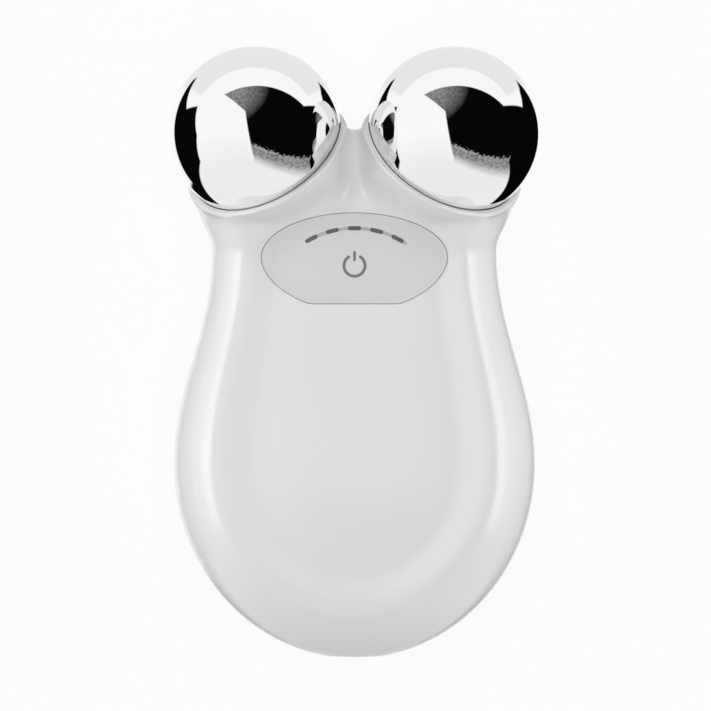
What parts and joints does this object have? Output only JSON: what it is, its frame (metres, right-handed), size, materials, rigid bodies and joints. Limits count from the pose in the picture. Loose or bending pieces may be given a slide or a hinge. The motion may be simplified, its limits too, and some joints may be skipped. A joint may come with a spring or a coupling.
{
  "type": "facial toning device",
  "caption": "Hand-held facial toning device: smooth flattened body, angled chrome ball electrodes in a split head, and a press panel with a power mark and an arc of level windows.",
  "frame": {"origin": "centre of the outline in X and Y, on the plane that the back rests on", "axes": "+Z out of the front, where the control panel is; +Y along the device, towards the ball electrodes; +X across it"},
  "size_m": [0.0634, 0.1047, 0.037],
  "materials": {
    "white_gloss": "polished, lacquered",
    "back_gloss": "polished",
    "ball_chrome": "mirror plated",
    "stud_metal": "turned",
    "seal_rubber": "matte",
    "frame_plastic": "fine texture",
    "nut_brass": "machined",
    "ring_brass": "tinned",
    "wire_white": "satin",
    "panel_grey": "fine matte",
    "mark_grey": "matte",
    "strip_grey": "satin",
    "window_dark": "tinted",
    "plunger_black": "matte",
    "switch_metal": "stamped",
    "board_green": "solder mask",
    "led_white": "phosphor",
    "shroud_black": "matte",
    "chip_black": "moulded",
    "coil_ferrite": "ferrite",
    "can_metal": "drawn can",
    "ceramic_tan": "ceramic",
    "buzzer_black": "moulded",
    "cell_foil": "foil pouch",
    "pad_foam": "foam",
    "header_white": "moulded",
    "plug_ivory": "moulded",
    "wire_red": "satin",
    "wire_black": "satin",
    "socket_steel": "stamped",
    "core_black": "moulded",
    "screw_steel": "zinc plated"
  },
  "bodies": {
    "casing": {"front_shell": "white_gloss", "back_shell": "back_gloss", "ball_left": "ball_chrome", "ball_right": "ball_chrome", "ball_stud_left": "stud_metal", "ball_stud_right": "stud_metal", "ball_seal_left": "seal_rubber", "ball_seal_right": "seal_rubber", "head_frame": "frame_plastic", "ball_nuts": "nut_brass", "contact_ring_left": "ring_brass", "contact_ring_right": "ring_brass", "ball_lead_left": "wire_white", "ball_lead_right": "wire_white", "switch_body": "switch_metal", "circuit_board": "board_green", "level_leds": "led_white", "light_shroud": "shroud_black", "controller_chip": "chip_black", "boost_coil": "coil_ferrite", "power_capacitors": "can_metal", "chip_parts": "ceramic_tan", "buzzer": "buzzer_black", "battery_cell": "cell_foil", "battery_pad": "pad_foam", "battery_socket": "header_white", "battery_plug": "plug_ivory", "battery_lead_red": "wire_red", "battery_lead_black": "wire_black", "charge_board": "board_green", "charge_socket": "socket_steel", "charge_socket_core": "core_black", "charge_lead_red": "wire_red", "charge_lead_black": "wire_black", "shell_screws": "screw_steel", "board_screws": "screw_steel"},
    "panel": {"control_panel": "panel_grey", "power_mark": "mark_grey", "level_strip": "strip_grey", "level_windows": "window_dark", "switch_plunger": "plunger_black"}
  },
  "joints": [
    {"name": "panel_press", "type": "slide", "parent": "casing", "child": "panel", "axis": [0, 0, -1], "range_m": [0, 0.0003], "stiffness_N_per_m": 400, "springref_m": -0.001}
  ]
}
